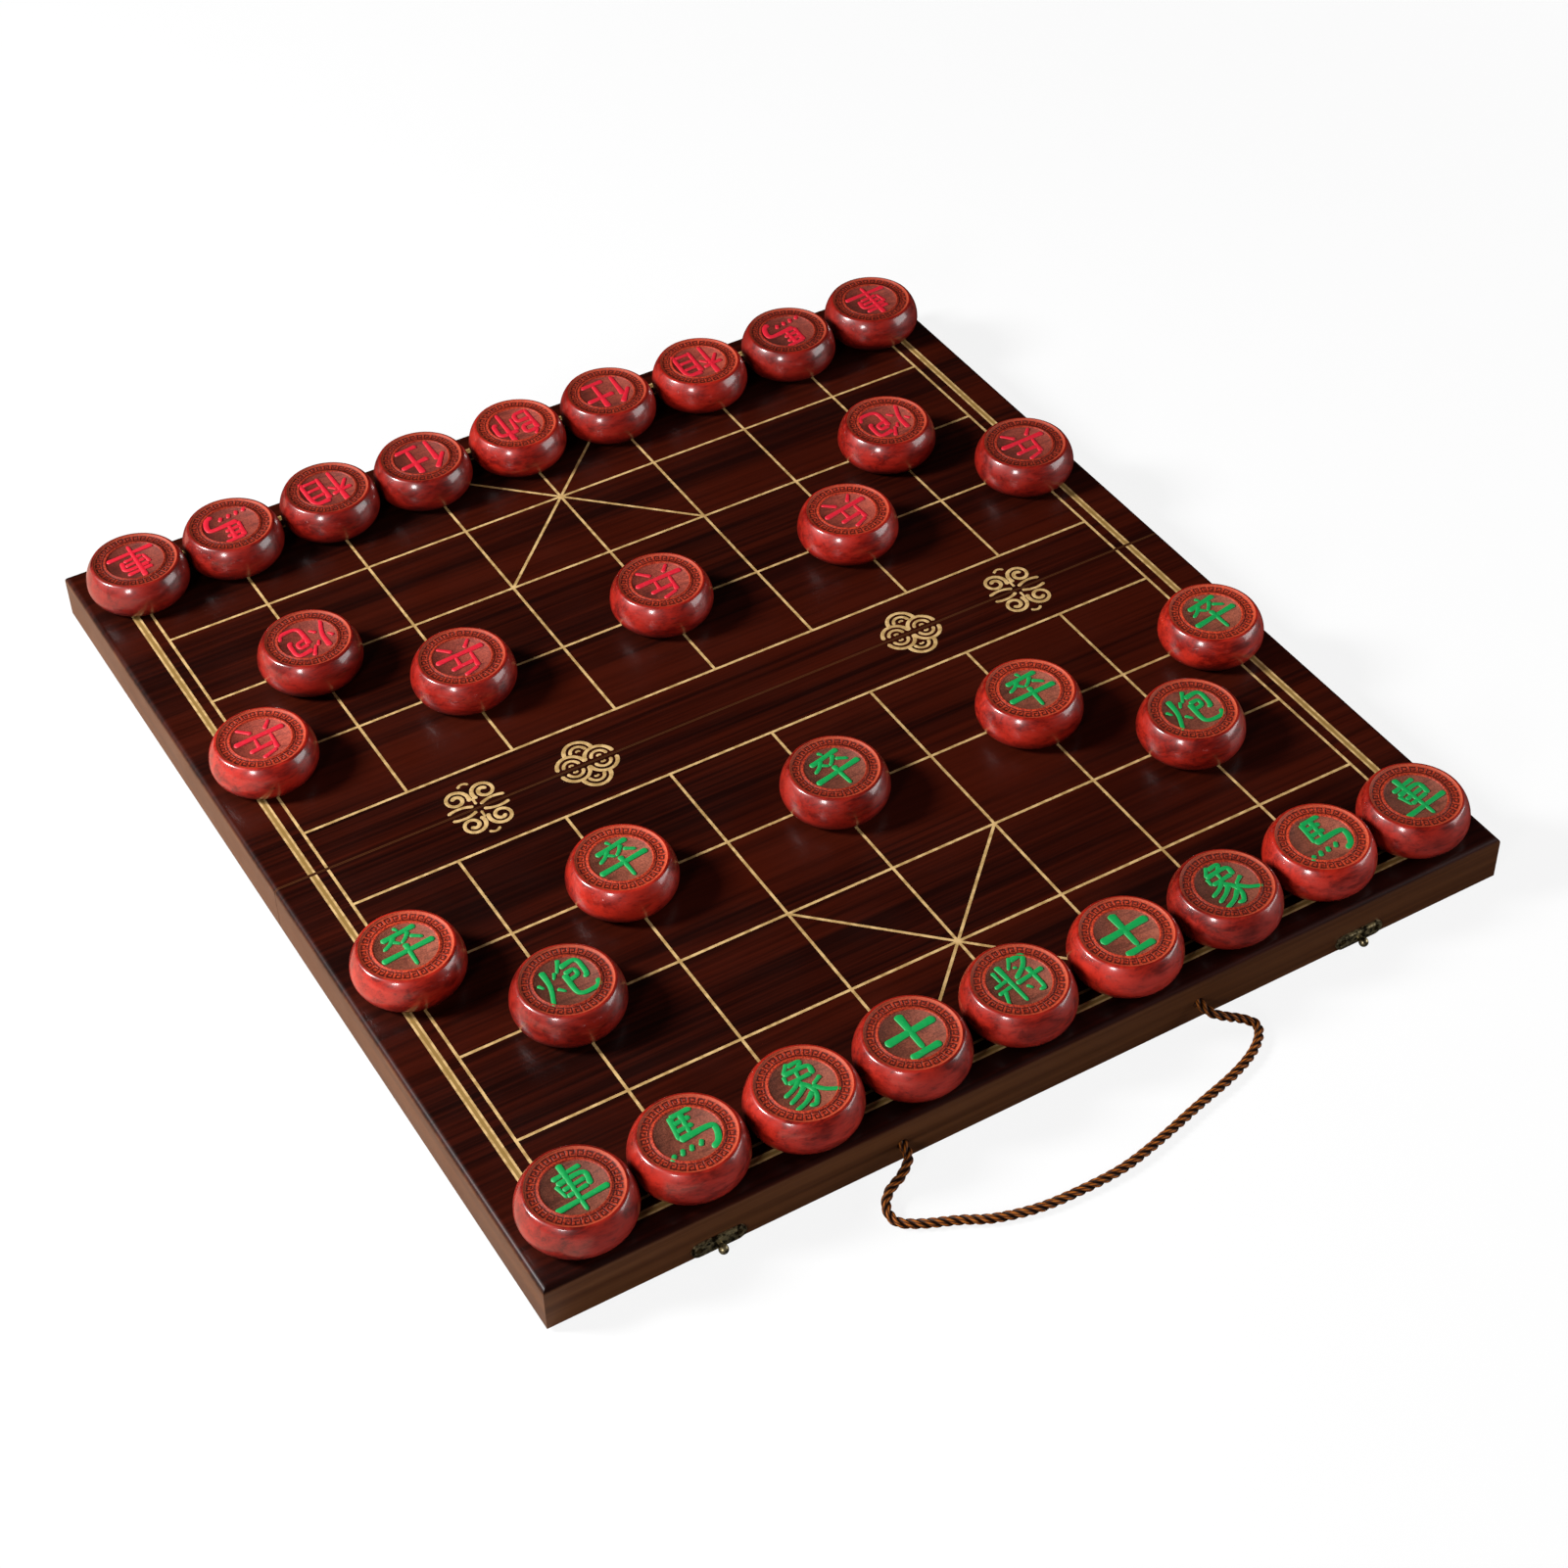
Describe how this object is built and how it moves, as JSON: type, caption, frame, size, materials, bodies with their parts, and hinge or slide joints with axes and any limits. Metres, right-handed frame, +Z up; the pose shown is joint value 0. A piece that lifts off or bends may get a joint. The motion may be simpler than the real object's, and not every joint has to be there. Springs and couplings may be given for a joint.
{
  "type": "folding xiangqi box",
  "caption": "Folding wooden xiangqi board, opened flat with turned chessmen on it; the two trays close into a carrying box with hinges, hasps and a rope handle.",
  "frame": {"origin": "on the table under the middle of the seam between the two halves", "axes": "+X along the river and the seam to the right, +Y from the near edge with the rope to the far edge, +Z up; modelled opened flat, playing faces up"},
  "size_m": [0.435, 0.5314, 0.0403],
  "materials": {
    "board_wood": "dark red-brown lacquer",
    "gold_line": "gold lacquer filling",
    "hinge_brass": "plain",
    "pin_steel": "plain",
    "screw_brass": "plain",
    "fitting_bronze": "antique bronze",
    "rope_cord": "laid cord",
    "man_wood_green_side": "rosewood, polished sides",
    "man_wood_red_side": "rosewood, polished sides"
  },
  "bodies": {
    "near_half": {"near_panel": "board_wood", "near_front_rail": "board_wood", "near_left_rail": "board_wood", "near_right_rail": "board_wood", "near_spine_rail": "board_wood", "near_line_work": "gold_line", "left_hinge_near_leaf": "hinge_brass", "right_hinge_near_leaf": "hinge_brass", "hinge_pins": "pin_steel", "near_screws": "screw_brass", "left_keeper": "fitting_bronze", "right_keeper": "fitting_bronze", "carry_rope": "rope_cord"},
    "far_half": {"far_panel": "board_wood", "far_back_rail": "board_wood", "far_left_rail": "board_wood", "far_right_rail": "board_wood", "far_spine_rail": "board_wood", "far_line_work": "gold_line", "left_hinge_far_leaf": "hinge_brass", "right_hinge_far_leaf": "hinge_brass", "far_screws": "screw_brass", "left_hasp_plate": "fitting_bronze", "right_hasp_plate": "fitting_bronze", "hasp_pins": "pin_steel"},
    "left_hasp": {"left_hasp_flap": "fitting_bronze"},
    "right_hasp": {"right_hasp_flap": "fitting_bronze"},
    "green_chariot_left": {"green_chariot_left": "man_wood_green_side"},
    "green_horse_left": {"green_horse_left": "man_wood_green_side"},
    "green_elephant_left": {"green_elephant_left": "man_wood_green_side"},
    "green_adviser_left": {"green_adviser_left": "man_wood_green_side"},
    "green_general": {"green_general": "man_wood_green_side"},
    "green_adviser_right": {"green_adviser_right": "man_wood_green_side"},
    "green_elephant_right": {"green_elephant_right": "man_wood_green_side"},
    "green_horse_right": {"green_horse_right": "man_wood_green_side"},
    "green_chariot_right": {"green_chariot_right": "man_wood_green_side"},
    "green_cannon_left": {"green_cannon_left": "man_wood_green_side"},
    "green_cannon_right": {"green_cannon_right": "man_wood_green_side"},
    "green_soldier_a": {"green_soldier_a": "man_wood_green_side"},
    "green_soldier_b": {"green_soldier_b": "man_wood_green_side"},
    "green_soldier_c": {"green_soldier_c": "man_wood_green_side"},
    "green_soldier_d": {"green_soldier_d": "man_wood_green_side"},
    "green_soldier_e": {"green_soldier_e": "man_wood_green_side"},
    "red_chariot_left": {"red_chariot_left": "man_wood_red_side"},
    "red_horse_left": {"red_horse_left": "man_wood_red_side"},
    "red_elephant_left": {"red_elephant_left": "man_wood_red_side"},
    "red_adviser_left": {"red_adviser_left": "man_wood_red_side"},
    "red_general": {"red_general": "man_wood_red_side"},
    "red_adviser_right": {"red_adviser_right": "man_wood_red_side"},
    "red_elephant_right": {"red_elephant_right": "man_wood_red_side"},
    "red_horse_right": {"red_horse_right": "man_wood_red_side"},
    "red_chariot_right": {"red_chariot_right": "man_wood_red_side"},
    "red_cannon_left": {"red_cannon_left": "man_wood_red_side"},
    "red_cannon_right": {"red_cannon_right": "man_wood_red_side"},
    "red_soldier_a": {"red_soldier_a": "man_wood_red_side"},
    "red_soldier_b": {"red_soldier_b": "man_wood_red_side"},
    "red_soldier_c": {"red_soldier_c": "man_wood_red_side"},
    "red_soldier_d": {"red_soldier_d": "man_wood_red_side"},
    "red_soldier_e": {"red_soldier_e": "man_wood_red_side"}
  },
  "joints": [
    {"name": "board_fold", "type": "hinge", "parent": "near_half", "child": "far_half", "pos_m": [0, 0, 0.0012], "axis": [-1, 0, 0], "range_deg": [0, 180]},
    {"name": "hasp_left_turn", "type": "hinge", "parent": "far_half", "child": "left_hasp", "pos_m": [-0.147, 0.2366, 0.0063], "axis": [-1, 0, 0], "range_deg": [-90, 56]},
    {"name": "hasp_right_turn", "type": "hinge", "parent": "far_half", "child": "right_hasp", "pos_m": [0.147, 0.2366, 0.0063], "axis": [-1, 0, 0], "range_deg": [-90, 56]},
    {"name": "lift_green_chariot_left", "type": "slide", "parent": "near_half", "child": "green_chariot_left", "axis": [0, 0, 1], "range_m": [0, 0.06]},
    {"name": "lift_green_horse_left", "type": "slide", "parent": "near_half", "child": "green_horse_left", "axis": [0, 0, 1], "range_m": [0, 0.06]},
    {"name": "lift_green_elephant_left", "type": "slide", "parent": "near_half", "child": "green_elephant_left", "axis": [0, 0, 1], "range_m": [0, 0.06]},
    {"name": "lift_green_adviser_left", "type": "slide", "parent": "near_half", "child": "green_adviser_left", "axis": [0, 0, 1], "range_m": [0, 0.06]},
    {"name": "lift_green_general", "type": "slide", "parent": "near_half", "child": "green_general", "axis": [0, 0, 1], "range_m": [0, 0.06]},
    {"name": "lift_green_adviser_right", "type": "slide", "parent": "near_half", "child": "green_adviser_right", "axis": [0, 0, 1], "range_m": [0, 0.06]},
    {"name": "lift_green_elephant_right", "type": "slide", "parent": "near_half", "child": "green_elephant_right", "axis": [0, 0, 1], "range_m": [0, 0.06]},
    {"name": "lift_green_horse_right", "type": "slide", "parent": "near_half", "child": "green_horse_right", "axis": [0, 0, 1], "range_m": [0, 0.06]},
    {"name": "lift_green_chariot_right", "type": "slide", "parent": "near_half", "child": "green_chariot_right", "axis": [0, 0, 1], "range_m": [0, 0.06]},
    {"name": "lift_green_cannon_left", "type": "slide", "parent": "near_half", "child": "green_cannon_left", "axis": [0, 0, 1], "range_m": [0, 0.06]},
    {"name": "lift_green_cannon_right", "type": "slide", "parent": "near_half", "child": "green_cannon_right", "axis": [0, 0, 1], "range_m": [0, 0.06]},
    {"name": "lift_green_soldier_a", "type": "slide", "parent": "near_half", "child": "green_soldier_a", "axis": [0, 0, 1], "range_m": [0, 0.06]},
    {"name": "lift_green_soldier_b", "type": "slide", "parent": "near_half", "child": "green_soldier_b", "axis": [0, 0, 1], "range_m": [0, 0.06]},
    {"name": "lift_green_soldier_c", "type": "slide", "parent": "near_half", "child": "green_soldier_c", "axis": [0, 0, 1], "range_m": [0, 0.06]},
    {"name": "lift_green_soldier_d", "type": "slide", "parent": "near_half", "child": "green_soldier_d", "axis": [0, 0, 1], "range_m": [0, 0.06]},
    {"name": "lift_green_soldier_e", "type": "slide", "parent": "near_half", "child": "green_soldier_e", "axis": [0, 0, 1], "range_m": [0, 0.06]},
    {"name": "lift_red_chariot_left", "type": "slide", "parent": "far_half", "child": "red_chariot_left", "axis": [0, 0, 1], "range_m": [0, 0.06]},
    {"name": "lift_red_horse_left", "type": "slide", "parent": "far_half", "child": "red_horse_left", "axis": [0, 0, 1], "range_m": [0, 0.06]},
    {"name": "lift_red_elephant_left", "type": "slide", "parent": "far_half", "child": "red_elephant_left", "axis": [0, 0, 1], "range_m": [0, 0.06]},
    {"name": "lift_red_adviser_left", "type": "slide", "parent": "far_half", "child": "red_adviser_left", "axis": [0, 0, 1], "range_m": [0, 0.06]},
    {"name": "lift_red_general", "type": "slide", "parent": "far_half", "child": "red_general", "axis": [0, 0, 1], "range_m": [0, 0.06]},
    {"name": "lift_red_adviser_right", "type": "slide", "parent": "far_half", "child": "red_adviser_right", "axis": [0, 0, 1], "range_m": [0, 0.06]},
    {"name": "lift_red_elephant_right", "type": "slide", "parent": "far_half", "child": "red_elephant_right", "axis": [0, 0, 1], "range_m": [0, 0.06]},
    {"name": "lift_red_horse_right", "type": "slide", "parent": "far_half", "child": "red_horse_right", "axis": [0, 0, 1], "range_m": [0, 0.06]},
    {"name": "lift_red_chariot_right", "type": "slide", "parent": "far_half", "child": "red_chariot_right", "axis": [0, 0, 1], "range_m": [0, 0.06]},
    {"name": "lift_red_cannon_left", "type": "slide", "parent": "far_half", "child": "red_cannon_left", "axis": [0, 0, 1], "range_m": [0, 0.06]},
    {"name": "lift_red_cannon_right", "type": "slide", "parent": "far_half", "child": "red_cannon_right", "axis": [0, 0, 1], "range_m": [0, 0.06]},
    {"name": "lift_red_soldier_a", "type": "slide", "parent": "far_half", "child": "red_soldier_a", "axis": [0, 0, 1], "range_m": [0, 0.06]},
    {"name": "lift_red_soldier_b", "type": "slide", "parent": "far_half", "child": "red_soldier_b", "axis": [0, 0, 1], "range_m": [0, 0.06]},
    {"name": "lift_red_soldier_c", "type": "slide", "parent": "far_half", "child": "red_soldier_c", "axis": [0, 0, 1], "range_m": [0, 0.06]},
    {"name": "lift_red_soldier_d", "type": "slide", "parent": "far_half", "child": "red_soldier_d", "axis": [0, 0, 1], "range_m": [0, 0.06]},
    {"name": "lift_red_soldier_e", "type": "slide", "parent": "far_half", "child": "red_soldier_e", "axis": [0, 0, 1], "range_m": [0, 0.06]}
  ]
}
